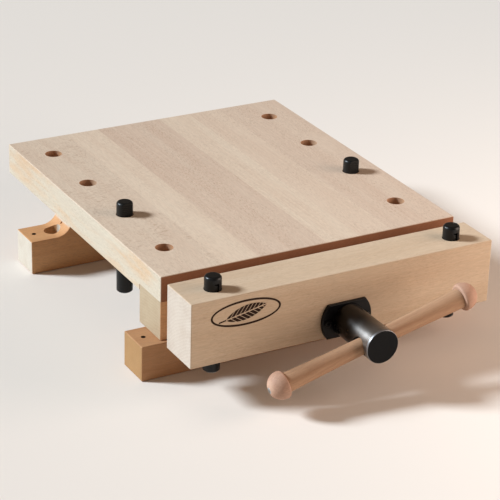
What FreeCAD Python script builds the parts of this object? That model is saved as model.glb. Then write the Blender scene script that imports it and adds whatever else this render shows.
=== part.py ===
import FreeCAD, Part
import math
import os

# Benchtop workstation: a laminated beech worktop on two cross feet, with a
# full-width front vise on two guide rods and one screw. Millimetres, Z up,
# X along the jaw, -Y towards the person turning the handle.

V = FreeCAD.Vector
os.makedirs("parts", exist_ok=True)

# worktop
WIDTH = 374.0
DEPTH = 418.0
TOP_HEIGHT = 117.5
TOP_THICK = 37.5
OUTER_STAVE = 77.0
STAVE = 42.6
INNER_STAVES = 5
ARRIS = 1.2

# dog holes and dogs
DOG_HOLE_D = 20.0
DOG_D = 19.0
DOG_LEN = 112.0
DOG_PROUD = 16.0
DOG_ROUND = 3.4
DOG_EDGE = 37.0
DOG_FIRST = 66.0
DOG_PITCH = 100.0
DOG_ROWS = 4
DOG_ROW_USED = 1

# feet and front rail
FOOT_H = 41.5
FOOT_D = 44.0
FOOT_OVERHANG = 24.5
FOOT_LIP = 5.5
REAR_FOOT_Y = 292.5
FOOT_HOLE_D = 5.0
FOOT_HOLE_END = 12.3
COVE_FLAT = 32.0
COVE_R = 20.0
COVE_PILOT_D = 3.0
COVE_PILOT_DEPTH = 12.0
CLAMP_HOLE_D = 20.0
CLAMP_HOLE_END = 35.8
RAIL_D = 51.5
REBATE = 7.5

# vise
GAP = 18.0
JAW_D = 55.5
JAW_PROUD = 1.4
JAW_LIFT = 0.5
AXIS_Z = 62.0
ROD_X = 95.0
ROD_D = 20.0
ROD_SEAT = 42.0
ROD_REAR = 230.0
BUSHING_WALL = 3.0
BUSHING_LIP = 4.0
BUSHING_LIP_T = 2.5
SCREW_D = 20.0
JOURNAL_D = 14.0
PLATE_D = 62.0
PLATE_T = 4.0
PLATE_HALF = 20.7
PLATE_SCREW_X = 24.5
YOKE_T = 10.0
YOKE_H = 26.0
COLLAR_D = 32.0
COLLAR_T = 10.0
NUT_W = 70.0
NUT_H = 34.0
NUT_T = 12.0
NUT_SCREW_X = 25.0

# hub and handle
HUB_D = 38.5
HUB_END = 150.0
HUB_CAP_T = 3.0
WASHER_T = 1.5
HANDLE_REACH = 132.0
HANDLE_D = 22.0
HANDLE_WAIST = 1.8
HANDLE_LEN = 260.6
HANDLE_TILT = 13.8
KNOB_D = 31.0
KNOB_LEN = 19.5
KNOB_RIM = 4.0
KNOB_EASE = 2.6
TENON_D = 13.0

# clearances
FIXED = 0.1
RUN = 0.2
SLIDE = 0.3
LOOSE = 1.0

TOP_UNDER = TOP_HEIGHT - TOP_THICK
RAIL_TOP = TOP_UNDER + REBATE
HALF_W = WIDTH / 2
FOOT_X = HALF_W + FOOT_OVERHANG
DOG_X = HALF_W - DOG_EDGE
JAW_BACK = -GAP
JAW_X = HALF_W + JAW_PROUD
JAW_FRONT = -GAP - JAW_D
JAW_BOTTOM = FOOT_H + JAW_LIFT
JAW_DOG_Y = JAW_BACK - 30.0
PLATE_FRONT = JAW_FRONT - PLATE_T
HUB_BACK = PLATE_FRONT - WASHER_T - 2 * RUN
CENTRE_Y = (DEPTH - HUB_END) / 2
BUSHING_R = ROD_D / 2 + RUN + BUSHING_WALL
LIP_BACK = RAIL_D + FIXED + BUSHING_LIP_T


def box(x0, x1, y0, y1, z0, z1):
    return Part.makeBox(x1 - x0, y1 - y0, z1 - z0, V(x0, y0, z0))


def rod(radius, start, end):
    """Round bar between two points."""
    a = V(*start)
    b = V(*end)
    return Part.makeCylinder(radius, (b - a).Length, a, b - a)


def soften(shape, radius, wanted=lambda a, b: True):
    """Break the edges whose two ends pass the test."""
    edges = []
    for edge in shape.Edges:
        ends = [v.Point for v in edge.Vertexes]
        if len(ends) == 2 and wanted(ends[0], ends[1]):
            edges.append(edge)
    return shape.makeFillet(radius, edges)


def screw(shank_d, length, head_d, head_t):
    """Cross-recess screw along +Z, underside of the head at the origin."""
    head = Part.makeCylinder(head_d / 2, head_t, V(0, 0, -head_t))
    rim = [e for e in head.Edges if abs(e.BoundBox.ZMax + head_t) < 0.01]
    head = head.makeFillet(head_t * 0.45, rim)
    slot = head_d * 0.3
    depth = head_t * 0.6
    thin = head_d * 0.07
    head = head.cut(box(-slot, slot, -thin, thin, -head_t, -head_t + depth))
    head = head.cut(box(-thin, thin, -slot, slot, -head_t, -head_t + depth))
    shank = Part.makeCylinder(shank_d / 2, length)
    return head.fuse(shank).removeSplitter()


def aim(shape, point, direction):
    """Point a +Z shape along a direction and set it at a place."""
    turn = FreeCAD.Rotation(V(0, 0, 1), V(*direction))
    placed = shape.copy()
    placed.Placement = FreeCAD.Placement(V(*point), turn)
    return placed


def save(name, shape):
    """Write one piece with the row's origin under the middle of the whole."""
    out = shape.copy()
    out.translate(V(0, -CENTRE_Y, 0))
    out.exportStep("parts/" + name + ".step")


def dog_rows():
    return [DOG_FIRST + i * DOG_PITCH for i in range(DOG_ROWS)]


def stave_edges():
    """X of every glue line and of both sides of the worktop."""
    xs = [-HALF_W]
    for i in range(INNER_STAVES + 1):
        xs.append(-HALF_W + OUTER_STAVE + i * STAVE)
    xs.append(HALF_W)
    return xs


def worktop():
    """The slab, rebated for the rail, drilled for dogs and foot screws.

    Where a bushing lip would reach above the underside, it gets a relief.
    """
    slab = box(-HALF_W, HALF_W, 0, DEPTH, TOP_UNDER, TOP_HEIGHT)
    slab = soften(slab, ARRIS)
    slab = slab.cut(box(-HALF_W, HALF_W, 0, RAIL_D, TOP_UNDER, RAIL_TOP))
    for x in (-DOG_X, DOG_X):
        for y in dog_rows():
            slab = slab.cut(rod(DOG_HOLE_D / 2, (x, y, 0), (x, y, 200)))
    for x, y in foot_screw_places():
        bore = rod(2.5 + FIXED, (x, y, 0), (x, y, TOP_UNDER + 26))
        slab = slab.cut(bore)
    for x in (-ROD_X, ROD_X):
        room = rod(BUSHING_R + BUSHING_LIP + LOOSE / 2, (x, RAIL_D, AXIS_Z), (x, LIP_BACK + LOOSE, AXIS_Z))
        slab = slab.cut(room)
    xs = stave_edges()
    for i in range(len(xs) - 1):
        strip = box(xs[i], xs[i + 1], -1, DEPTH + 1, 0, 200)
        save("worktop_stave_%d" % (i + 1), slab.common(strip))


def foot_screw_places():
    """Two long screws rise through each foot into the wood above."""
    front_y = -FOOT_LIP + FOOT_D / 2
    rear_y = REAR_FOOT_Y + FOOT_D / 2
    inset = HALF_W * 0.72
    return [(x, y) for y in (front_y, rear_y) for x in (-inset, inset)]


def foot_holes(foot, y):
    """Hold-down holes near the ends and the counterbored screw holes."""
    for side in (-1, 1):
        x = side * (FOOT_X - FOOT_HOLE_END)
        foot = foot.cut(rod(FOOT_HOLE_D / 2, (x, y, -1), (x, y, FOOT_H + 1)))
    for x, row_y in foot_screw_places():
        if abs(row_y - y) < 1:
            foot = foot.cut(rod(2.5 + FIXED, (x, y, 0), (x, y, 100)))
            foot = foot.cut(rod(5.5 + FIXED, (x, y, 0), (x, y, 12)))
    return foot


def front_foot():
    foot = box(-FOOT_X, FOOT_X, -FOOT_LIP, FOOT_D - FOOT_LIP, 0, FOOT_H)
    foot = soften(foot, ARRIS)
    save("front_foot", foot_holes(foot, -FOOT_LIP + FOOT_D / 2))


def rear_foot():
    """Deep foot under the worktop; its ends drop to foot height in a cove."""
    y0 = REAR_FOOT_Y
    foot = box(-FOOT_X, FOOT_X, y0, y0 + FOOT_D, 0, TOP_UNDER)
    for side in (-1, 1):
        tangent = side * (FOOT_X - COVE_FLAT)
        wall = side * (FOOT_X - COVE_FLAT - COVE_R)
        outer = side * (FOOT_X + 1)
        low = FOOT_H + COVE_R
        sides = sorted((tangent, outer))
        foot = foot.cut(box(sides[0], sides[1], y0 - 1, y0 + FOOT_D + 1, FOOT_H, 200))
        sides = sorted((wall, outer))
        foot = foot.cut(box(sides[0], sides[1], y0 - 1, y0 + FOOT_D + 1, low, 200))
        cove = rod(COVE_R, (tangent, y0 - 1, low), (tangent, y0 + FOOT_D + 1, low))
        foot = foot.cut(cove)
    foot = soften(foot, ARRIS, lambda a, b: max(a.z, b.z) < FOOT_H + 0.01)
    for side in (-1, 1):
        x = side * (FOOT_X - CLAMP_HOLE_END)
        y = y0 + FOOT_D / 2
        foot = foot.cut(rod(CLAMP_HOLE_D / 2, (x, y, -1), (x, y, 200)))
        start = side * (FOOT_X - COVE_FLAT)
        end = side * (FOOT_X - COVE_FLAT - COVE_R - COVE_PILOT_DEPTH)
        z = FOOT_H + COVE_R * 0.4
        foot = foot.cut(rod(COVE_PILOT_D / 2, (start, y, z), (end, y, z)))
    save("rear_foot", foot_holes(foot, y0 + FOOT_D / 2))


def foot_screws():
    for i, (x, y) in enumerate(foot_screw_places()):
        length = (TOP_UNDER + 25) - 12
        piece = aim(screw(5.0, length, 11.0, 4.0), (x, y, 12), (0, 0, 1))
        end = ("front", "rear")[i // 2]
        side = ("left", "right")[i % 2]
        save(end + "_foot_screw_" + side, piece)


def front_rail():
    """Rail let into the worktop; carries the guide bushings and the nut."""
    rail = box(-HALF_W, HALF_W, 0, RAIL_D, FOOT_H, RAIL_TOP)
    rail = soften(rail, ARRIS, lambda a, b: min(a.z, b.z) < FOOT_H + 0.01)
    for x in (-ROD_X, ROD_X):
        rail = rail.cut(rod(BUSHING_R + FIXED, (x, -1, AXIS_Z), (x, 200, AXIS_Z)))
    pass_r = SCREW_D / 2 + LOOSE
    rail = rail.cut(rod(pass_r, (0, -1, AXIS_Z), (0, 200, AXIS_Z)))
    for x, y in foot_screw_places():
        rail = rail.cut(rod(2.5 + FIXED, (x, y, 0), (x, y, 200)))
    for x in (-NUT_SCREW_X, NUT_SCREW_X):
        rail = rail.cut(rod(2.5 + FIXED, (x, RAIL_D - 26, AXIS_Z), (x, 200, AXIS_Z)))
    save("front_rail", rail)


def guide_bushings():
    """Flanged plastic sleeves pressed into the rail from behind."""
    inner = ROD_D / 2 + RUN
    for name, x in (("left", -ROD_X), ("right", ROD_X)):
        body = rod(BUSHING_R, (x, 1, AXIS_Z), (x, RAIL_D + FIXED, AXIS_Z))
        flange = rod(BUSHING_R + BUSHING_LIP, (x, RAIL_D + FIXED, AXIS_Z), (x, LIP_BACK, AXIS_Z))
        sleeve = body.fuse(flange).removeSplitter()
        sleeve = sleeve.cut(rod(inner, (x, -1, AXIS_Z), (x, 200, AXIS_Z)))
        save("guide_bushing_" + name, sleeve)


def nut_plate():
    """Steel nut screwed to the back of the rail, and its two screws."""
    y0 = RAIL_D + FIXED
    y1 = y0 + NUT_T
    plate = box(-NUT_W / 2, NUT_W / 2, y0, y1, AXIS_Z - NUT_H / 2, AXIS_Z + NUT_H / 2)
    plate = soften(plate, 2.0, lambda a, b: abs(a.y - b.y) > NUT_T - 1)
    plate = plate.cut(rod(SCREW_D / 2 + RUN, (0, 0, AXIS_Z), (0, 200, AXIS_Z)))
    for name, x in (("left", -NUT_SCREW_X), ("right", NUT_SCREW_X)):
        plate = plate.cut(rod(2.5 + FIXED, (x, 0, AXIS_Z), (x, 200, AXIS_Z)))
        piece = aim(screw(5.0, NUT_T + 22, 9.0, 3.5), (x, y1 + FIXED, AXIS_Z), (0, -1, 0))
        save("nut_plate_screw_" + name, piece)
    save("nut_plate", plate)


def vise_jaw():
    """Solid beech jaw, a hair longer than the worktop is wide."""
    jaw = box(-JAW_X, JAW_X, JAW_FRONT, JAW_BACK, JAW_BOTTOM, TOP_HEIGHT)
    jaw = soften(jaw, ARRIS)
    for x in (-DOG_X, DOG_X):
        jaw = jaw.cut(rod(DOG_HOLE_D / 2, (x, JAW_DOG_Y, 0), (x, JAW_DOG_Y, 200)))
    for x in (-ROD_X, ROD_X):
        seat = rod(ROD_D / 2 + FIXED, (x, JAW_BACK - ROD_SEAT, AXIS_Z), (x, 0, AXIS_Z))
        jaw = jaw.cut(seat)
        y = JAW_BACK - ROD_SEAT / 2
        jaw = jaw.cut(rod(3.0 + FIXED, (x, y, 0), (x, y, AXIS_Z)))
    jaw = jaw.cut(rod(SCREW_D / 2 + LOOSE, (0, -200, AXIS_Z), (0, 0, AXIS_Z)))
    recess = JAW_BACK - COLLAR_T - 2 * LOOSE
    jaw = jaw.cut(rod(COLLAR_D / 2 + LOOSE, (0, recess, AXIS_Z), (0, 0, AXIS_Z)))
    for x in (-PLATE_SCREW_X, PLATE_SCREW_X):
        end = JAW_FRONT + 20
        jaw = jaw.cut(rod(2.25 + FIXED, (x, -200, AXIS_Z), (x, end, AXIS_Z)))
    save("vise_jaw", jaw)


def flange_plate():
    """Round steel plate with its top and bottom cut flat, and two screws."""
    z0 = AXIS_Z - min(PLATE_HALF, AXIS_Z - JAW_BOTTOM)
    z1 = AXIS_Z + PLATE_HALF
    disc = rod(PLATE_D / 2, (0, PLATE_FRONT, AXIS_Z), (0, JAW_FRONT - FIXED, AXIS_Z))
    plate = disc.common(box(-PLATE_D, PLATE_D, -200, 0, z0, z1))
    front = [e for e in plate.Edges if e.BoundBox.YMax < PLATE_FRONT + 0.01]
    plate = plate.makeFillet(1.0, front)
    plate = plate.cut(rod(SCREW_D / 2 + LOOSE / 2, (0, -200, AXIS_Z), (0, 0, AXIS_Z)))
    for name, x in (("left", -PLATE_SCREW_X), ("right", PLATE_SCREW_X)):
        plate = plate.cut(rod(2.25 + FIXED, (x, -200, AXIS_Z), (x, 0, AXIS_Z)))
        seat = (x, PLATE_FRONT - FIXED, AXIS_Z)
        save("flange_screw_" + name, aim(screw(4.5, 22.0, 8.0, 2.4), seat, (0, 1, 0)))
    save("flange_plate", plate)


def guide_rods():
    """Bright steel rods, cross-screwed into the jaw, tied by a yoke behind."""
    yoke_r = 3.0 + FIXED
    for name, x in (("left", -ROD_X), ("right", ROD_X)):
        start = JAW_BACK - ROD_SEAT + FIXED
        bar = rod(ROD_D / 2, (x, start, AXIS_Z), (x, ROD_REAR, AXIS_Z))
        ends = [e for e in bar.Edges if e.BoundBox.YLength < 0.01]
        bar = bar.makeChamfer(0.8, ends)
        bar = bar.cut(rod(yoke_r, (x, ROD_REAR - 20, AXIS_Z), (x, 400, AXIS_Z)))
        y = JAW_BACK - ROD_SEAT / 2
        bar = bar.cut(rod(3.0 + FIXED, (x, y, 0), (x, y, AXIS_Z - 5)))
        save("guide_rod_" + name, bar)
        lock = rod(3.0, (x, y, JAW_BOTTOM + 1), (x, y, AXIS_Z - 5.2))
        socket = rod(1.5, (x, y, JAW_BOTTOM), (x, y, JAW_BOTTOM + 4))
        save("rod_lock_screw_" + name, lock.cut(socket))


def rod_yoke():
    """Flat bar across the rear ends of the guide rods."""
    y0 = ROD_REAR + FIXED
    y1 = y0 + YOKE_T
    reach = ROD_X + YOKE_H / 2
    bar = box(-reach, reach, y0, y1, AXIS_Z - YOKE_H / 2, AXIS_Z + YOKE_H / 2)
    bar = soften(bar, 4.0, lambda a, b: abs(a.y - b.y) > YOKE_T - 1)
    bar = bar.cut(rod(JOURNAL_D / 2 + SLIDE, (0, 0, AXIS_Z), (0, 400, AXIS_Z)))
    for name, x in (("left", -ROD_X), ("right", ROD_X)):
        bar = bar.cut(rod(3.0 + FIXED, (x, 0, AXIS_Z), (x, 400, AXIS_Z)))
        seat = (x, y1 + FIXED, AXIS_Z)
        save("yoke_screw_" + name, aim(screw(6.0, YOKE_T + 16, 11.0, 4.5), seat, (0, -1, 0)))
    save("rod_yoke", bar)


def screw_spindle():
    """Vise screw: seat in the hub, threaded length, plain journal behind."""
    front = -HANDLE_REACH + HANDLE_D / 2 + 3.0
    thread_end = ROD_REAR - 4.0
    bar = rod(SCREW_D / 2, (0, front, AXIS_Z), (0, thread_end, AXIS_Z))
    ends = [e for e in bar.Edges if e.BoundBox.YLength < 0.01]
    bar = bar.makeChamfer(1.0, ends)
    tail_end = ROD_REAR + YOKE_T + 6.0
    bar = bar.fuse(rod(JOURNAL_D / 2, (0, thread_end - 3, AXIS_Z), (0, tail_end, AXIS_Z)))
    bar = bar.removeSplitter()
    y = HUB_BACK - 12.0
    bar = bar.cut(rod(3.0 + FIXED, (0, y, 0), (0, y, AXIS_Z - 5)))
    y = collar_y() + COLLAR_T / 2
    bar = bar.cut(rod(2.5 + FIXED, (0, y, 0), (0, y, AXIS_Z - 6)))
    save("screw_spindle", bar)


def collar_y():
    return JAW_BACK - COLLAR_T - LOOSE


def screw_hub():
    """Steel hub on the spindle, cross-bored for the handle."""
    hub = rod(HUB_D / 2, (0, -HUB_END + HUB_CAP_T, AXIS_Z), (0, HUB_BACK, AXIS_Z))
    rear = [e for e in hub.Edges if e.BoundBox.YMin > HUB_BACK - 0.01]
    hub = hub.makeChamfer(0.8, rear)
    seat_end = -HANDLE_REACH + HANDLE_D / 2 + 3.0 - FIXED
    hub = hub.cut(rod(SCREW_D / 2 + FIXED, (0, seat_end, AXIS_Z), (0, 0, AXIS_Z)))
    along = handle_direction()
    a = V(0, -HANDLE_REACH, AXIS_Z) - along * HUB_D
    b = V(0, -HANDLE_REACH, AXIS_Z) + along * HUB_D
    hub = hub.cut(rod(HANDLE_D / 2 + SLIDE, tuple(a), tuple(b)))
    y = HUB_BACK - 12.0
    hub = hub.cut(rod(3.0 + FIXED, (0, y, 0), (0, y, AXIS_Z)))
    save("screw_hub", hub)
    lock = rod(3.0, (0, y, AXIS_Z - HUB_D / 2 + 1), (0, y, AXIS_Z - 5.2))
    socket = rod(1.5, (0, y, AXIS_Z - HUB_D / 2), (0, y, AXIS_Z - HUB_D / 2 + 4))
    save("hub_lock_screw", lock.cut(socket))


def hub_end_cap():
    back = -HUB_END + HUB_CAP_T - FIXED
    cap = rod(HUB_D / 2, (0, -HUB_END, AXIS_Z), (0, back, AXIS_Z))
    front = [e for e in cap.Edges if e.BoundBox.YMax < -HUB_END + 0.01]
    save("hub_end_cap", cap.makeFillet(0.8, front))


def thrust_washer():
    y0 = HUB_BACK + RUN
    ring = rod(HUB_D / 2 - 1.0, (0, y0, AXIS_Z), (0, y0 + WASHER_T, AXIS_Z))
    ring = ring.cut(rod(SCREW_D / 2 + FIXED, (0, -200, AXIS_Z), (0, 0, AXIS_Z)))
    save("thrust_washer", ring)


def retaining_collar():
    """Ring locked on the spindle inside the jaw, so the screw pulls it open."""
    y0 = collar_y()
    ring = rod(COLLAR_D / 2, (0, y0, AXIS_Z), (0, y0 + COLLAR_T, AXIS_Z))
    ends = [e for e in ring.Edges if e.BoundBox.YLength < 0.01]
    ring = ring.makeChamfer(0.8, ends)
    ring = ring.cut(rod(SCREW_D / 2 + FIXED, (0, -200, AXIS_Z), (0, 0, AXIS_Z)))
    y = y0 + COLLAR_T / 2
    ring = ring.cut(rod(2.5 + FIXED, (0, y, 0), (0, y, AXIS_Z)))
    save("retaining_collar", ring)
    low = AXIS_Z - COLLAR_D / 2
    lock = rod(2.5, (0, y, low + 0.5), (0, y, AXIS_Z - 6.2))
    socket = rod(1.25, (0, y, low), (0, y, low + 3.5))
    save("collar_lock_screw", lock.cut(socket))


def handle_direction():
    angle = math.radians(HANDLE_TILT)
    return V(math.cos(angle), 0, math.sin(angle))


def handle_blank(shoulder, tenon):
    """Bar turned to a slight waist, with a tenon at each end, along +Z."""
    end_r = HANDLE_D / 2
    neck = TENON_D / 2
    ease = 0.8
    curve = Part.BezierCurve()
    curve.setPoles([V(end_r, 0, ease - shoulder), V(end_r - 2 * HANDLE_WAIST, 0, 0),
                    V(end_r, 0, shoulder - ease)])
    waist = curve.toShape()
    ends = Part.makePolygon([V(end_r, 0, shoulder - ease), V(end_r - ease, 0, shoulder),
                            V(neck, 0, shoulder), V(neck, 0, tenon), V(0, 0, tenon),
                            V(0, 0, -tenon), V(neck, 0, -tenon), V(neck, 0, -shoulder),
                            V(end_r - ease, 0, -shoulder), V(end_r, 0, ease - shoulder)])
    face = Part.Face(Part.Wire([waist] + ends.Edges))
    return face.revolve(V(0, 0, 0), V(0, 0, 1), 360)


def handle():
    """Waisted bar with a tenon in a mushroom knob at each end."""
    along = handle_direction()
    middle = V(0, -HANDLE_REACH, AXIS_Z)
    shoulder = HANDLE_LEN / 2 - KNOB_LEN
    tenon = shoulder + KNOB_LEN * 0.6
    bar = aim(handle_blank(shoulder, tenon), tuple(middle), tuple(along))
    for name, side in (("left", -1), ("right", 1)):
        out = along * side
        seat = middle + out * HANDLE_LEN / 2
        pilot = rod(1.75 + FIXED, tuple(seat), tuple(seat - out * 26))
        bar = bar.cut(pilot)
        base = middle + out * (shoulder + FIXED)
        knob = aim(knob_blank(), tuple(base), tuple(out))
        socket = middle + out * (tenon + FIXED)
        knob = knob.cut(rod(TENON_D / 2 + FIXED, tuple(base - out), tuple(socket)))
        knob = knob.cut(rod(1.75 + FIXED, tuple(seat + out), tuple(seat - out * 26)))
        knob = knob.cut(rod(3.75 + FIXED, tuple(seat + out), tuple(seat - out * 2.6)))
        save("handle_knob_" + name, knob)
        pin = aim(screw(3.5, 18.0, 7.5, 2.2), tuple(seat - out * 2.5), tuple(out * -1))
        save("knob_screw_" + name, pin)
    save("handle_bar", bar)


def knob_blank():
    """Mushroom knob along +Z: flat inner face, eased rim, domed outer end."""
    length = KNOB_LEN - FIXED
    r = KNOB_D / 2
    bend = KNOB_EASE * (1 - math.sqrt(0.5))
    rim = Part.Arc(V(r - KNOB_EASE, 0, 0), V(r - bend, 0, bend), V(r, 0, KNOB_EASE)).toShape()
    side = Part.makeLine(V(r, 0, KNOB_EASE), V(r, 0, KNOB_RIM))
    half = math.sqrt(0.5)
    crown = V(r * half, 0, KNOB_RIM + (length - KNOB_RIM) * half)
    dome = Part.Arc(V(r, 0, KNOB_RIM), crown, V(0, 0, length)).toShape()
    axis = Part.makeLine(V(0, 0, length), V(0, 0, 0))
    base = Part.makeLine(V(0, 0, 0), V(r - KNOB_EASE, 0, 0))
    face = Part.Face(Part.Wire([base, rim, side, dome, axis]))
    return face.revolve(V(0, 0, 0), V(0, 0, 1), 360)


def bench_dog(x, y, facing):
    """Round dog: ribbed flat near the top, spring slot on the far side."""
    r = DOG_D / 2
    z1 = TOP_HEIGHT + DOG_PROUD
    z0 = z1 - DOG_LEN
    body = rod(r, (x, y, z0), (x, y, z1))
    body = body.makeChamfer(1.5, [e for e in body.Edges if e.BoundBox.ZMax < z0 + 0.01])
    body = body.makeFillet(DOG_ROUND, [e for e in body.Edges if e.BoundBox.ZMin > z1 - 0.01])
    flat = sorted((y + facing * (r - 2.0), y + facing * (r + 2)))
    body = body.cut(box(x - r, x + r, flat[0], flat[1], TOP_HEIGHT + 0.5, z1 + 1))
    for i in range(5):
        z = TOP_HEIGHT + 2.5 + i * 2.4
        rib = sorted((y + facing * (r - 2.6), y + facing * r))
        body = body.cut(box(x - r, x + r, rib[0], rib[1], z, z + 0.9))
    slot = sorted((y - facing * (r - 3.4), y - facing * (r + 1)))
    return body.cut(box(x - 2.6, x + 2.6, slot[0], slot[1], TOP_HEIGHT - 70, TOP_HEIGHT + 9))


def dog_spring(x, y, facing):
    """Bowed plastic tongue in the slot that grips the wall of the hole."""
    back = DOG_D / 2 - 3.3
    low = TOP_HEIGHT - 69.5
    high = TOP_HEIGHT + 6
    middle = (low + high) / 2
    bow = 2.2
    points = []
    for offset in (0, 1.0):
        start = V(x, y - facing * (back + offset), low)
        mid = V(x, y - facing * (back + offset + bow), middle)
        end = V(x, y - facing * (back + offset), high)
        points.append((start, mid, end))
    inner, outer = points
    arcs = [Part.Arc(*inner).toShape(), Part.makeLine(inner[2], outer[2])]
    arcs.append(Part.Arc(outer[2], outer[1], outer[0]).toShape())
    arcs.append(Part.makeLine(outer[0], inner[0]))
    strip = Part.Face(Part.Wire(arcs)).extrude(V(4.6, 0, 0))
    strip.translate(V(-2.3, 0, 0))
    return strip


def dogs():
    row_y = dog_rows()[DOG_ROW_USED]
    for name, y, facing in (("bench", row_y, -1), ("jaw", JAW_DOG_Y, 1)):
        for side, x in (("left", -DOG_X), ("right", DOG_X)):
            save(name + "_dog_" + side, bench_dog(x, y, facing))
            save(name + "_dog_spring_" + side, dog_spring(x, y, facing))


worktop()
front_foot()
rear_foot()
foot_screws()
front_rail()
guide_bushings()
nut_plate()
vise_jaw()
flange_plate()
guide_rods()
rod_yoke()
screw_spindle()
screw_hub()
hub_end_cap()
thrust_washer()
retaining_collar()
handle()
dogs()
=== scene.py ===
import bpy
import bmesh
import math
from mathutils import Matrix, Vector


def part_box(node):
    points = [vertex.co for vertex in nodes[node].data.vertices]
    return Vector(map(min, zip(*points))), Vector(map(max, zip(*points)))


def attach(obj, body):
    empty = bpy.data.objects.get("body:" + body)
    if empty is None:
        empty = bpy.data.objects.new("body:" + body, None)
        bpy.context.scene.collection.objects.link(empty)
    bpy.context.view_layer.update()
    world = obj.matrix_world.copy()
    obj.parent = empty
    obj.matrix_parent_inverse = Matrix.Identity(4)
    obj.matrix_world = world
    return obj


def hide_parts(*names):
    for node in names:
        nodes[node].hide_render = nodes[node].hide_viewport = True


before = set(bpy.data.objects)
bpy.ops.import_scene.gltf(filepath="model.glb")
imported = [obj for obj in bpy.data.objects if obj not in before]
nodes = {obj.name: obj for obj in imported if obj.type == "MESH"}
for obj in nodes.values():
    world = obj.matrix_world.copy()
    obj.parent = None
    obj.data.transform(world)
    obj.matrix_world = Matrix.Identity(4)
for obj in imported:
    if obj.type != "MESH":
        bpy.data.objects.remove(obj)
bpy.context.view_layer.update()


# ---- Camera: in front of the vise and to its left, looking down on the bench
# through a long lens.
view_yaw, view_drop, view_roll = math.radians(29.48), math.radians(24.78), math.radians(1.68)
ahead = Vector((math.sin(view_yaw) * math.cos(view_drop),
                math.cos(view_yaw) * math.cos(view_drop), -math.sin(view_drop)))
across = Vector((math.cos(view_yaw), -math.sin(view_yaw), 0))
over = across.cross(ahead)
right = across * math.cos(view_roll) + over * math.sin(view_roll)
up = over * math.cos(view_roll) - across * math.sin(view_roll)
CAMERA_PLACE = (-1.0448, -1.8417, 1.0335)
eye = bpy.data.cameras.new("eye")
eye.lens = 143.9
eye.sensor_width = 36.0
eye.clip_start = 0.1
eye.clip_end = 20.0
camera = bpy.data.objects.new("eye", eye)
bpy.context.scene.collection.objects.link(camera)
camera.matrix_world = Matrix.Translation(CAMERA_PLACE) @ Matrix(
    (right, up, -ahead)).transposed().to_4x4()
bpy.context.scene.camera = camera


# ---- Studio: a broad cool lamp from behind the left side, a round warm softbox at
# the front right, a dim warm room, and plain pale paper on the floor under the feet.
KEY_FROM = Vector((-0.67, 0.42, 0.50))
SOFTBOX_PLACE = Vector((0.82, -0.66, 0.36))
SOFTBOX_AIM = Vector((0, -0.1, 0.06))
FLOOR_REACH, FLOOR_DROP = 6.0, 0.0003


def lamp(name, kind, energy, colour):
    light = bpy.data.lights.new(name, kind)
    light.energy = energy
    light.color = colour
    holder = bpy.data.objects.new(name, light)
    bpy.context.scene.collection.objects.link(holder)
    return light, holder


key, key_holder = lamp("key", "SUN", 5.0, (0.89, 1.0, 1.10))
key.angle = math.radians(13)
key_holder.matrix_world = KEY_FROM.to_track_quat("Z", "Y").to_matrix().to_4x4()
softbox, box_holder = lamp("softbox", "AREA", 10.0, (1.0, 0.82, 0.72))
softbox.shape = "DISK"
softbox.size = 0.9
box_holder.matrix_world = Matrix.Translation(SOFTBOX_PLACE) @ (
    SOFTBOX_PLACE - SOFTBOX_AIM).to_track_quat("Z", "Y").to_matrix().to_4x4()

sky = bpy.data.worlds.new("room")
sky.use_nodes = True
room = sky.node_tree.nodes["Background"]
room.inputs["Color"].default_value = (1.0, 0.78, 0.60, 1)
room.inputs["Strength"].default_value = 0.17
bpy.context.scene.world = sky
bpy.context.scene.view_settings.view_transform = "Standard"

floor_mesh = bpy.data.meshes.new("floor")
floor_corners = [(FLOOR_REACH * x, FLOOR_REACH * y, -FLOOR_DROP)
                 for x, y in ((-1, -1), (1, -1), (1, 1), (-1, 1))]
floor_mesh.from_pydata(floor_corners, [], [(0, 1, 2, 3)])
floor = bpy.data.objects.new("floor", floor_mesh)
bpy.context.scene.collection.objects.link(floor)
paper = bpy.data.materials.new("studio_paper")
paper.use_nodes = True
shade = paper.node_tree.nodes["Principled BSDF"]
shade.inputs["Roughness"].default_value = 0.9
shade.inputs["Base Color"].default_value = (0.78, 0.71, 0.64, 1)
floor_mesh.materials.append(paper)


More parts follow.
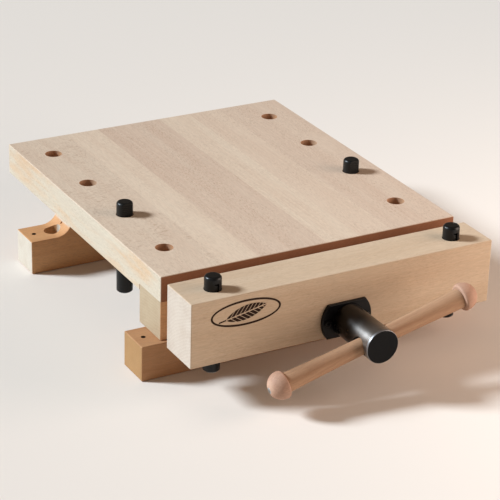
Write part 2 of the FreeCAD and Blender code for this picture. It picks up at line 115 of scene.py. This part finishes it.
# ---- Worktop: seven beech strips glued edge to edge, planed, sanded and oiled.
# The wood's figure is one node group, used by every wooden piece: growth rings,
# long streaks, pores and the short dark ray flecks that mark beech.
class Sheet:
    """Short way to write a node tree: each method adds a node and returns its result."""

    def __init__(self, tree):
        self.tree = tree

    def node(self, kind, **settings):
        made = self.tree.nodes.new("ShaderNode" + kind)
        for name, value in settings.items():
            setattr(made, name, value)
        return made

    def put(self, socket, value):
        if isinstance(value, bpy.types.NodeSocket):
            self.tree.links.new(value, socket)
        else:
            socket.default_value = value

    def calc(self, operation, first, second=0.0, third=0.0, clamp=False):
        made = self.node("Math", operation=operation, use_clamp=clamp)
        for socket, value in zip(made.inputs, (first, second, third)):
            self.put(socket, value)
        return made.outputs[0]

    def step(self, value, low, high, out_low=0.0, out_high=1.0):
        """Smooth change from one level to the other while the value goes from low to high."""
        made = self.node("MapRange", interpolation_type="SMOOTHSTEP")
        for name, given in (("Value", value), ("From Min", low), ("From Max", high),
                            ("To Min", out_low), ("To Max", out_high)):
            self.put(made.inputs[name], given)
        return made.outputs["Result"]

    def stretch(self, vector, scale, shift=(0, 0, 0)):
        made = self.node("Mapping")
        self.put(made.inputs["Vector"], vector)
        made.inputs["Scale"].default_value = scale
        self.put(made.inputs["Location"], shift)
        return made.outputs["Vector"]

    def noise(self, vector, scale=1.0, detail=2.0, rough=0.5):
        made = self.node("TexNoise")
        self.put(made.inputs["Vector"], vector)
        made.inputs["Scale"].default_value = scale
        made.inputs["Detail"].default_value = detail
        made.inputs["Roughness"].default_value = rough
        return made.outputs["Fac"]

    def mix(self, amount, first, second, way="MIX"):
        made = self.node("Mix", data_type="RGBA", blend_type=way)
        self.put(made.inputs["Factor"], amount)
        self.put(made.inputs[6], first)
        self.put(made.inputs[7], second)
        return made.outputs[2]

    def apart(self, vector):
        """X, Y and Z of a vector."""
        made = self.node("SeparateXYZ")
        self.put(made.inputs[0], vector)
        return made.outputs

    def here(self, kind="Object"):
        """The place on the piece in metres, or with "Normal" the way its surface faces."""
        return self.node("TexCoord").outputs[kind]

    def faces(self, axis, way=None):
        """1 on surfaces that face along the axis: either way, or only the way given as 1 or -1."""
        slant, square = 0.80, 0.95
        facing = self.apart(self.here("Normal"))[axis]
        if way is None:
            return self.step(self.calc("ABSOLUTE", facing), slant, square)
        return self.step(facing, way * slant, way * square)

    def distance(self, first, second):
        """How far a point lies from the origin, from its two offsets."""
        squares = [self.calc("MULTIPLY", offset, offset) for offset in (first, second)]
        return self.calc("SQRT", self.calc("ADD", *squares))

    def emboss(self, shader, height, strength, depth):
        """Feed a height through a bump node to the shader; returns the socket of that height."""
        made = self.node("Bump")
        made.inputs["Strength"].default_value = strength
        made.inputs["Distance"].default_value = depth
        self.put(made.inputs["Height"], height)
        self.put(shader.inputs["Normal"], made.outputs["Normal"])
        return made.inputs["Height"]


def new_group(name, inputs, outputs):
    """Empty node group with named sockets."""
    group = bpy.data.node_groups.new(name, "ShaderNodeTree")
    for label, kind, start in inputs:
        socket = group.interface.new_socket(label, in_out="INPUT", socket_type="NodeSocket" + kind)
        if start is not None:
            socket.default_value = start
    for label, kind in outputs:
        group.interface.new_socket(label, in_out="OUTPUT", socket_type="NodeSocket" + kind)
    given = group.nodes.new("NodeGroupInput").outputs
    out = group.nodes.new("NodeGroupOutput").inputs
    return group, Sheet(group), given, out


def new_finish(name):
    """Node material, its sheet and its shader."""
    material = bpy.data.materials.new(name)
    material.use_nodes = True
    return material, Sheet(material.node_tree), material.node_tree.nodes["Principled BSDF"]


HEART_ASIDE, HEART_BELOW = 0.021, 0.062
RING_WANDER, RINGS_PER_METRE = 0.022, 270.0


def build_beech_figure():
    """Beech as a group: colour, roughness and height from the place along the grain."""
    group, s, given, out = new_group(
        "beech_figure",
        [("Along Grain", "Vector", None), ("Shift", "Vector", None),
         ("Ground", "Color", (0.6, 0.45, 0.3, 1)), ("Late Wood", "Color", (0.5, 0.33, 0.2, 1)),
         ("Fleck", "Color", (0.3, 0.16, 0.09, 1)), ("End Color", "Color", (0.4, 0.2, 0.1, 1)),
         ("Figure", "Float", 0.5), ("Flecks", "Float", 0.5), ("Rays", "Float", 0.0),
         ("End Grain", "Float", 0.0)],
        [("Color", "Color"), ("Roughness", "Float"), ("Height", "Float")])
    place = s.node("VectorMath", operation="ADD")
    s.put(place.inputs[0], given["Along Grain"])
    s.put(place.inputs[1], given["Shift"])
    place = place.outputs[0]
    parts = s.apart(place)
    # growth rings about a heart line well below the strip, never quite round
    wander = s.noise(s.stretch(place, (2.2, 14, 14)), 1.0, 3.0)
    radius = s.distance(s.calc("ADD", parts["Y"], HEART_ASIDE), s.calc("ADD", parts["Z"], HEART_BELOW))
    radius = s.calc("ADD", radius, s.calc("MULTIPLY", wander, RING_WANDER))
    turn = s.calc("FRACT", s.calc("MULTIPLY", radius, RINGS_PER_METRE))
    ring = s.calc("MULTIPLY", s.step(turn, 0.15, 0.88), s.step(turn, 1.0, 0.90))
    fade = s.step(s.noise(s.stretch(place, (5, 30, 30)), 1.0, 2.0), 0.38, 0.66)
    # broad tone drift, streaks, and the fibre itself
    broad = s.noise(s.stretch(place, (3.0, 48, 48)), 1.0, 3.0, 0.55)
    streak = s.noise(s.stretch(place, (9, 210, 210)), 1.0, 4.0, 0.6)
    fibre = s.noise(s.stretch(place, (90, 1300, 1300)), 1.0, 3.0, 0.65)
    # short dark dashes, the rays seen edge on
    speck = s.noise(s.stretch(place, (240, 1100, 1100)), 1.0, 1.0, 0.5)
    patch = s.step(s.noise(s.stretch(place, (14, 45, 45)), 1.0, 2.0), 0.25, 0.60)
    dash = s.calc("MULTIPLY", s.step(speck, 0.54, 0.68), patch)
    # wavy cross flecks, the rays seen flat on
    ripple = s.noise(s.stretch(place, (430, 150, 150)), 1.0, 2.0, 0.55)
    cloud = s.step(s.noise(s.stretch(place, (11, 34, 34)), 1.0, 1.0), 0.38, 0.62)
    ray = s.calc("MULTIPLY", s.step(ripple, 0.54, 0.66), cloud)
    ray = s.calc("MULTIPLY", ray, given["Rays"])
    amount = s.calc("MULTIPLY", s.calc("MULTIPLY", ring, fade), 0.34)
    amount = s.calc("ADD", amount, s.step(broad, 0.32, 0.72, 0.0, 0.50))
    amount = s.calc("ADD", amount, s.step(streak, 0.35, 0.75, 0.0, 0.26))
    amount = s.calc("MULTIPLY", amount, given["Figure"], clamp=True)
    colour = s.mix(amount, given["Ground"], given["Late Wood"])
    colour = s.mix(s.calc("MULTIPLY", dash, given["Flecks"], clamp=True), colour, given["Fleck"])
    colour = s.mix(ray, colour, given["Fleck"])
    # sawn ends: dotted pores and plain rings on their own darker or paler ground
    dots = s.noise(s.stretch(place, (800, 1400, 1400)), 1.0, 1.0)
    end_ring = s.calc("ADD", s.calc("MULTIPLY", ring, 0.12), s.step(dots, 0.40, 0.66, 0.0, 0.16))
    end_ring = s.calc("ADD", end_ring, s.step(broad, 0.35, 0.7, 0.0, 0.18))
    darker = s.mix(1.0, given["End Color"], (0.62, 0.50, 0.42, 1), "MULTIPLY")
    colour = s.mix(given["End Grain"], colour, s.mix(end_ring, given["End Color"], darker))
    toned = s.node("VectorMath", operation="SCALE")
    s.put(toned.inputs[0], colour)
    s.put(toned.inputs["Scale"], s.step(fibre, 0.3, 0.7, 0.91, 1.06))
    s.put(out["Color"], toned.outputs[0])
    rough = s.step(fibre, 0.2, 0.8, 0.52, 0.68)
    s.put(out["Roughness"], s.calc("ADD", rough, s.calc("MULTIPLY", dash, 0.05)))
    relief = s.calc("ADD", s.calc("MULTIPLY", fibre, 0.5), s.calc("MULTIPLY", streak, 0.5))
    s.put(out["Height"], s.calc("SUBTRACT", relief, s.calc("MULTIPLY", dash, 0.35)))
    return group


beech_figure = build_beech_figure()
TURN_Y_TO_GRAIN = (0.0, 0.0, -math.pi / 2)
ALONG_X = (0.0, 0.0, 0.0)


def beech(name, ground, late, fleck, end, turn, shift, figure=0.6, flecks=0.5, end_axis="X", rays=0.0):
    """Oiled beech; returns the material, its sheet, the shader, the figure and the bump's height."""
    material, s, shader = new_finish(name)
    turned = s.node("Mapping")
    s.put(turned.inputs["Vector"], s.here())
    turned.inputs["Rotation"].default_value = turn
    wood = s.node("Group", node_tree=beech_figure)
    s.put(wood.inputs["Along Grain"], turned.outputs["Vector"])
    wood.inputs["Shift"].default_value = shift
    wood.inputs["Ground"].default_value = (*ground, 1)
    wood.inputs["Late Wood"].default_value = (*late, 1)
    wood.inputs["Fleck"].default_value = (*fleck, 1)
    wood.inputs["Figure"].default_value = figure
    wood.inputs["Flecks"].default_value = flecks
    wood.inputs["Rays"].default_value = rays
    wood.inputs["End Color"].default_value = (*end, 1)
    s.put(wood.inputs["End Grain"], s.faces(end_axis))
    height = s.emboss(shader, wood.outputs["Height"], 0.25, 0.0003)
    s.put(shader.inputs["Base Color"], wood.outputs["Color"])
    s.put(shader.inputs["Roughness"], wood.outputs["Roughness"])
    shader.inputs["Specular IOR Level"].default_value = 0.16
    return material, s, shader, wood, height


def bored(s, shader, figure, off_x, off_y, radius, colour):
    """Colour the wall of each bored hole, given the offsets from its axis."""
    inside = s.step(s.distance(off_x, off_y), radius + 0.0004, radius + 0.0001)
    s.put(shader.inputs["Base Color"], s.mix(inside, figure.outputs["Color"], (*colour, 1)))


def finish_node(name, material):
    """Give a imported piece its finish."""
    mesh = nodes[name].data
    mesh.materials.clear()
    mesh.materials.append(material)


PALE = (0.640, 0.505, 0.385)
LATE = (0.555, 0.395, 0.290)
FLECK = (0.330, 0.190, 0.120)
# The end grain that faces the front is coloured darker and more saturated than the rear ends: painted
# shade on the front ends.
FRONT_END_PAINTED_SHADE, REAR_END = (0.310, 0.135, 0.072), (0.470, 0.310, 0.190)
HOLE_WALL = (0.47, 0.27, 0.165)
SIDE_PLAIN, SIDE_FIGURED = (0.88, 0.97, 1.00, 1), (0.92, 0.84, 0.72, 1)
# each strip: brightness, warmth, dashes, cross flecks
STRIPS = ((1.02, 0.99, 0.34, 0.34), (1.08, 0.98, 0.25, 0.12), (0.98, 1.02, 0.45, 0.0),
          (0.965, 1.02, 0.50, 0.0), (1.06, 0.98, 0.25, 0.12), (1.03, 1.00, 0.35, 0.0),
          (0.975, 1.02, 0.50, 0.0))
HOLE_X, HOLE_FIRST, HOLE_PITCH, HOLE_R = 0.150, -0.068, 0.100, 0.010
for number, (tone, warmth, flecks, rays) in enumerate(STRIPS, start=1):
    ground = (PALE[0] * tone, PALE[1] * tone / warmth, PALE[2] * tone / warmth)
    late = (LATE[0] * tone, LATE[1] * tone / warmth, LATE[2] * tone / warmth)
    shift = (number * 1.37, number * 0.0831 - 0.2, number * 0.0127)
    wood, s, shader, figure, height = beech("beech_strip_%d" % number, ground, late, FLECK, REAR_END,
                                            TURN_Y_TO_GRAIN, shift, 0.60, flecks, "Y", rays)
    # Ends facing the front take the darker end colour: painted shade.
    front = s.faces("Y", -1)
    s.put(figure.inputs["End Color"], s.mix(front, (*REAR_END, 1), (*FRONT_END_PAINTED_SHADE, 1)))
    if number in (1, len(STRIPS)):
        spot = s.apart(s.here())
        off_x = s.calc("SUBTRACT", s.calc("ABSOLUTE", spot["X"]), HOLE_X)
        row = s.calc("DIVIDE", s.calc("SUBTRACT", spot["Y"], HOLE_FIRST), HOLE_PITCH)
        row = s.calc("SUBTRACT", s.calc("FRACT", s.calc("ADD", row, 0.5)), 0.5)
        off_y = s.calc("MULTIPLY", row, HOLE_PITCH)
        bored(s, shader, figure, off_x, off_y, HOLE_R, HOLE_WALL)
        # the long outer side is flat-sawn: no cross flecks, yellower, boldly figured
        outer = s.faces("X")
        s.put(figure.inputs["Rays"], s.calc("MULTIPLY", s.calc("SUBTRACT", 1.0, outer), rays))
        sweep = s.noise(s.stretch(s.here(), (1, 7, 46)), 1.0, 4.0, 0.6)
        warm = s.mix(s.step(sweep, 0.45, 0.68), SIDE_PLAIN, SIDE_FIGURED)
        top = shader.inputs["Base Color"].links[0].from_socket
        s.put(shader.inputs["Base Color"], s.mix(outer, top, s.mix(1.0, top, warm, "MULTIPLY")))
    finish_node("worktop_stave_%d" % number, wood)


# ---- Under the worktop: front rail and two cross feet, square-planed beech of a
# warmer cut, glued and screwed from below.
RAIL = (0.560, 0.340, 0.200)
RAIL_LATE = (0.440, 0.230, 0.120)
# The walls of the small holes in the feet are coloured near black: painted shade inside the holes.
FOOT_HOLE_X, FOOT_HOLE_R, FOOT_HOLE_PAINTED_SHADE = 0.1992, 0.0025, (0.02, 0.01, 0.006)
# each piece: tone against the rail's wood, end colour, place in the log, small hole
for name, tone, end, shift, hole_y in (
        ("front_rail", (1.28, 1.20, 1.06), (0.46, 0.36, 0.24), (0.3, 0.11, 0.05), None),
        ("front_foot", (0.82, 0.72, 0.60), (0.40, 0.23, 0.10), (1.9, 0.04, 0.02), -0.1175),
        ("rear_foot", (1.06, 0.95, 0.76), (0.62, 0.56, 0.47), (3.1, 0.27, 0.03), 0.1805)):
    ground = [a * b for a, b in zip(RAIL, tone)]
    late = [a * b for a, b in zip(RAIL_LATE, tone)]
    wood, s, shader, figure, height = beech("beech_" + name, ground, late, FLECK, end, ALONG_X, shift,
                                            0.75, 0.30, "X")
    if hole_y is not None:
        spot = s.apart(s.here())
        off_x = s.calc("SUBTRACT", s.calc("ABSOLUTE", spot["X"]), FOOT_HOLE_X)
        off_y = s.calc("SUBTRACT", spot["Y"], hole_y)
        # near-black hole wall: painted shade
        bored(s, shader, figure, off_x, off_y, FOOT_HOLE_R, FOOT_HOLE_PAINTED_SHADE)
    finish_node(name, wood)


# ---- Vise jaw: one solid beech board on edge, oiled. A plain leaf in an oval ring
# is branded into its face with a hot iron.
JAW_GROUND, JAW_LATE, JAW_END = (0.600, 0.460, 0.325), (0.500, 0.345, 0.220), (0.58, 0.50, 0.42)
wood, s, shader, figure, height = beech("beech_jaw", JAW_GROUND, JAW_LATE, FLECK, JAW_END, ALONG_X,
                                        (5.2, 0.31, 0.08), 0.6, 0.22, "X")
jaw_low, jaw_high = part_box("vise_jaw")
MARK_FROM_END, MARK_FROM_TOP = 0.065, 0.022
MM = 1000
# sizes of the mark, in millimetres
RING_HALF_WIDE, RING_HALF_HIGH, RING_LINE = 42.0, 15.0, 2.5
LEAF_ARC, LEAF_DROP, LEAF_LEAN = 44.0, 35.6, math.radians(11)
VEIN_PITCH = 5.5
STEM_END, STEM_START = -33.5, -23.5
CHAR_DARK, CHAR_PALE = (0.014, 0.007, 0.005, 1), (0.040, 0.019, 0.011, 1)
CHAR_ROUGHER, CHAR_SUNK = 0.25, 1.4
where = s.here()
spot = s.apart(s.stretch(where, (MM, MM, MM), (
    -MM * (jaw_low.x + MARK_FROM_END), 0, -MM * (jaw_high.z - MARK_FROM_TOP))))
mark_x, mark_z = spot["X"], spot["Z"]


def square(value):
    return s.calc("POWER", s.calc("ABSOLUTE", value), 2.0)


def oval(half_wide, half_high):
    """1 inside an oval of that size, else 0."""
    wide = square(s.calc("DIVIDE", mark_x, half_wide))
    high = square(s.calc("DIVIDE", mark_z, half_high))
    return s.step(s.calc("ADD", wide, high), 1.015, 0.985)


ring = s.calc("SUBTRACT", oval(RING_HALF_WIDE, RING_HALF_HIGH),
              oval(RING_HALF_WIDE - RING_LINE, RING_HALF_HIGH - RING_LINE), clamp=True)
cos_lean, sin_lean = math.cos(LEAF_LEAN), math.sin(LEAF_LEAN)
leaf_x = s.calc("ADD", s.calc("MULTIPLY", mark_x, cos_lean), s.calc("MULTIPLY", mark_z, sin_lean))
leaf_z = s.calc("SUBTRACT", s.calc("MULTIPLY", mark_z, cos_lean), s.calc("MULTIPLY", mark_x, sin_lean))
leaf_z = s.calc("ABSOLUTE", leaf_z)
far = s.calc("SQRT", s.calc("ADD", square(leaf_x), square(s.calc("ADD", leaf_z, LEAF_DROP))))
leaf = s.step(far, LEAF_ARC + 0.2, LEAF_ARC - 0.2)
rib = s.step(leaf_z, 0.75, 0.45)
veins = s.calc("FRACT", s.calc("DIVIDE", s.calc("SUBTRACT", leaf_x, leaf_z), VEIN_PITCH))
veins = s.step(s.calc("ABSOLUTE", s.calc("SUBTRACT", veins, 0.5)), 0.09, 0.05)
leaf = s.calc("SUBTRACT", leaf, s.calc("MAXIMUM", rib, veins), clamp=True)
stem = s.calc("MULTIPLY", s.step(leaf_z, 1.0, 0.7), s.step(leaf_x, STEM_START, STEM_START - 1))
stem = s.calc("MULTIPLY", stem, s.step(leaf_x, STEM_END, STEM_END + 1))
burnt = s.calc("MAXIMUM", ring, s.calc("MAXIMUM", leaf, stem))
burnt = s.calc("MULTIPLY", burnt, s.faces("Y", -1))
char = s.mix(s.noise(s.stretch(where, (500, 500, 500)), 1.0, 2.0), CHAR_DARK, CHAR_PALE)
s.put(shader.inputs["Base Color"], s.mix(burnt, figure.outputs["Color"], char))
rougher = s.calc("MULTIPLY", burnt, CHAR_ROUGHER)
s.put(shader.inputs["Roughness"], s.calc("ADD", figure.outputs["Roughness"], rougher))
s.put(height, s.calc("SUBTRACT", figure.outputs["Height"], s.calc("MULTIPLY", burnt, CHAR_SUNK)))
finish_node("vise_jaw", wood)


# ---- Handle: turned beech bar, waisted toward the hub, with a mushroom knob glued
# and screwed on each end. The knobs are of a pinker piece than the bar.
HANDLE_TURN = (0.0, math.radians(13.8), 0.0)
BAR_GROUND, BAR_LATE, BAR_END = (0.450, 0.272, 0.162), (0.330, 0.172, 0.095), (0.50, 0.30, 0.18)
KNOB_GROUND, KNOB_LATE, KNOB_END = (0.470, 0.280, 0.195), (0.370, 0.200, 0.130), (0.56, 0.36, 0.26)
finish_node("handle_bar", beech("beech_handle_bar", BAR_GROUND, BAR_LATE, FLECK, BAR_END,
                                HANDLE_TURN, (7.7, 0.12, 0.01), 0.85, 0.50)[0])
for name, shift in (("handle_knob_left", (9.1, 0.06, 0.04)), ("handle_knob_right", (10.4, 0.03, 0.02))):
    finish_node(name, beech("beech_" + name, KNOB_GROUND, KNOB_LATE, FLECK, KNOB_END,
                            HANDLE_TURN, shift, 0.55, 0.35)[0])


# ---- Black steel: flange plate and its screws, washer, nut plate and yoke, all of
# mild steel, blasted and stove-painted satin black. The film is a little uneven.
def build_paint_film():
    """Sprayed or moulded skin: slow clouds, fine dimples and specks of dust."""
    group, s, given, out = new_group(
        "paint_film", [("Place", "Vector", None), ("Colour", "Color", (0.02, 0.02, 0.02, 1)),
                       ("Dust", "Color", (0.06, 0.06, 0.06, 1)), ("Smooth", "Float", 0.3)],
        [("Color", "Color"), ("Roughness", "Float"), ("Height", "Float")])
    cloud = s.noise(s.stretch(given["Place"], (60, 60, 60)), 1.0, 3.0)
    peel = s.noise(s.stretch(given["Place"], (1300, 1300, 1300)), 1.0, 2.0)
    speck = s.step(s.noise(s.stretch(given["Place"], (2600, 2600, 2600)), 1.0, 0.0), 0.68, 0.76)
    dusty = s.calc("ADD", s.step(cloud, 0.35, 0.75, 0.0, 0.2), s.calc("MULTIPLY", speck, 0.3))
    s.put(out["Color"], s.mix(dusty, given["Colour"], given["Dust"]))
    s.put(out["Roughness"], s.calc("ADD", given["Smooth"], s.step(cloud, 0.3, 0.7, -0.04, 0.06)))
    s.put(out["Height"], s.calc("ADD", peel, s.calc("MULTIPLY", speck, 0.5)))
    return group


paint_film = build_paint_film()


def filmed(name, colour, dust, smooth, relief, gloss=0.22):
    """Painted or moulded surface; returns the material, its sheet, the shader and the film."""
    material, s, shader = new_finish(name)
    film = s.node("Group", node_tree=paint_film)
    s.put(film.inputs["Place"], s.here())
    film.inputs["Colour"].default_value = (*colour, 1)
    film.inputs["Dust"].default_value = (*dust, 1)
    film.inputs["Smooth"].default_value = smooth
    s.emboss(shader, film.outputs["Height"], 0.3, relief)
    s.put(shader.inputs["Base Color"], film.outputs["Color"])
    s.put(shader.inputs["Roughness"], film.outputs["Roughness"])
    shader.inputs["Specular IOR Level"].default_value = gloss
    return material, s, shader, film


black_paint = filmed("satin_black_paint", (0.0035, 0.0035, 0.004), (0.010, 0.010, 0.011), 0.34, 0.00012)[0]
for name in ("flange_plate", "thrust_washer", "nut_plate", "rod_yoke", "flange_screw_left",
             "flange_screw_right"):
    finish_node(name, black_paint)


# ---- Hub and its end cap: turned steel blackened in hot oxide, so it keeps a metal
# glint. The hub's front end has a painted highlight, and a painted highlight rings the cap's rim.
HUB_FRONT, PAINTED_GLINT_LEN, PAINTED_GLINT_EDGE = -0.284, 0.040, 0.004
PAINTED_GLINT_STEEL = (0.300, 0.285, 0.270, 1)
oxide, s, shader, film = filmed("black_oxide", (0.030, 0.029, 0.028), (0.045, 0.044, 0.043),
                                0.31, 0.00006)
shader.inputs["Metallic"].default_value = 1.0
# Painted highlight: brighter metal on the front 40 mm of the hub, fading out toward the jaw.
along_hub = s.apart(s.here())["Y"]
painted_glint = s.step(along_hub, HUB_FRONT + PAINTED_GLINT_LEN, HUB_FRONT + PAINTED_GLINT_EDGE)
s.put(shader.inputs["Base Color"], s.mix(painted_glint, film.outputs["Color"], PAINTED_GLINT_STEEL))
finish_node("screw_hub", oxide)
HUB_AXIS_Z, CAP_RIM_R, CAP_RIM_EDGE = 0.062, 0.0187, 0.0003
CAP_RIM_PAINTED_GLINT = (0.30, 0.30, 0.31, 1)
cap_black, s, shader, film = filmed("cap_black", (0.004, 0.004, 0.0045), (0.012, 0.012, 0.013),
                                    0.42, 0.00008, 0.10)
# A bright metal ring at the cap's rim: painted highlight standing for the glint of its chamfer.
spot = s.apart(s.here())
far = s.distance(spot["X"], s.calc("SUBTRACT", spot["Z"], HUB_AXIS_Z))
rim_glint_mask = s.step(far, CAP_RIM_R, CAP_RIM_R + CAP_RIM_EDGE)
s.put(shader.inputs["Base Color"], s.mix(rim_glint_mask, film.outputs["Color"], CAP_RIM_PAINTED_GLINT))
s.put(shader.inputs["Metallic"], rim_glint_mask)
finish_node("hub_end_cap", cap_black)


# ---- Bright steel: ground guide rods, the locking collar and the zinc-plated
# screws. Grinding leaves fine rings round the rods.
def bright(name, colour, lines, rough):
    """Ground or plated steel with fine tool marks across the Y axis."""
    material, s, shader = new_finish(name)
    place = s.here()
    marks = s.noise(s.stretch(place, (120, lines, 120)), 1.0, 3.0)
    smear = s.noise(s.stretch(place, (40, 25, 40)), 1.0, 3.0)
    tint = s.mix(s.step(smear, 0.35, 0.7), (*colour, 1), (*[c * 0.78 for c in colour], 1))
    s.put(shader.inputs["Base Color"], tint)
    s.put(shader.inputs["Roughness"], s.step(marks, 0.3, 0.7, rough - 0.06, rough + 0.09))
    s.emboss(shader, marks, 0.15, 0.0001)
    shader.inputs["Metallic"].default_value = 1.0
    return material


ground_steel = bright("ground_steel", (0.60, 0.60, 0.61), 3200, 0.28)
for name in ("guide_rod_left", "guide_rod_right", "retaining_collar"):
    finish_node(name, ground_steel)
zinc = bright("zinc_plate", (0.52, 0.53, 0.52), 900, 0.34)
for name in sorted(nodes):
    if "screw_left" in name or "screw_right" in name or "lock_screw" in name:
        if not name.startswith("flange"):
            finish_node(name, zinc)


# ---- Vise screw: steel bar with a rolled trapezoidal thread of 5 mm pitch between
# its plain seat in the hub and the journal that turns in the yoke.
low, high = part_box("screw_spindle")
axis_z = (low.z + high.z) / 2
CREST, ROOT, JOURNAL = 0.0100, 0.0082, 0.0070
PITCH = 0.005
SEAT_LEN, JOURNAL_LEN, RUN_OUT = 0.046, 0.020, 0.006
TOOTH_FOOT, TOOTH_FLANK = 0.36, 0.11
CHAMFER = 0.001
AROUND, PER_PITCH = 36, 10
count = int((high.y - low.y) / PITCH * PER_PITCH)
mesh = bpy.data.meshes.new("vise_screw")
shape = bmesh.new()
rings = []
for i in range(count + 1):
    y = low.y + (high.y - low.y) * i / count
    loop = []
    for k in range(AROUND):
        angle = 2 * math.pi * k / AROUND
        phase = ((y - low.y) / PITCH + k / AROUND) % 1.0
        tooth = min(1.0, max(0.0, (TOOTH_FOOT - abs(phase - 0.5)) / TOOTH_FLANK))
        edge = min(y - low.y - SEAT_LEN, high.y - JOURNAL_LEN - y) / RUN_OUT
        cut = min(1.0, max(0.0, edge))
        radius = CREST - (CREST - ROOT) * (1 - tooth) * cut
        if y > high.y - JOURNAL_LEN:
            radius = JOURNAL
        end = min(y - low.y, high.y - y)
        radius = min(radius, radius - CHAMFER + end)
        loop.append(shape.verts.new((radius * math.cos(angle), y, axis_z + radius * math.sin(angle))))
    rings.append(loop)
for a, b in zip(rings, rings[1:]):
    for k in range(AROUND):
        shape.faces.new((a[k], b[k], b[(k + 1) % AROUND], a[(k + 1) % AROUND]))
shape.faces.new(rings[0])
shape.faces.new(list(reversed(rings[-1])))
bmesh.ops.recalc_face_normals(shape, faces=shape.faces)
shape.to_mesh(mesh)
shape.free()
vise_screw = bpy.data.objects.new("vise_screw", mesh)
bpy.context.scene.collection.objects.link(vise_screw)
mesh.materials.append(bright("rolled_steel", (0.42, 0.41, 0.40), 1500, 0.36))
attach(vise_screw, "screw")
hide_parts("screw_spindle")


# ---- Guide bushings: black nylon sleeves, moulded, pressed into the rail.
nylon = filmed("black_nylon", (0.012, 0.012, 0.013), (0.03, 0.03, 0.03), 0.40, 0.0001)[0]
for name in ("guide_bushing_left", "guide_bushing_right"):
    finish_node(name, nylon)


# ---- Dogs: round pegs moulded in black filled nylon with a springy tongue let
# into a slot down one side.
dog_black = filmed("dog_nylon", (0.0045, 0.0045, 0.0045), (0.012, 0.012, 0.012), 0.34, 0.00014, 0.28)[0]
tongue_black = filmed("tongue_nylon", (0.004, 0.004, 0.004), (0.011, 0.011, 0.011), 0.30, 0.0001, 0.28)[0]
for row in ("bench", "jaw"):
    for side in ("left", "right"):
        finish_node("%s_dog_%s" % (row, side), dog_black)
        finish_node("%s_dog_spring_%s" % (row, side), tongue_black)


bpy.context.view_layer.update()
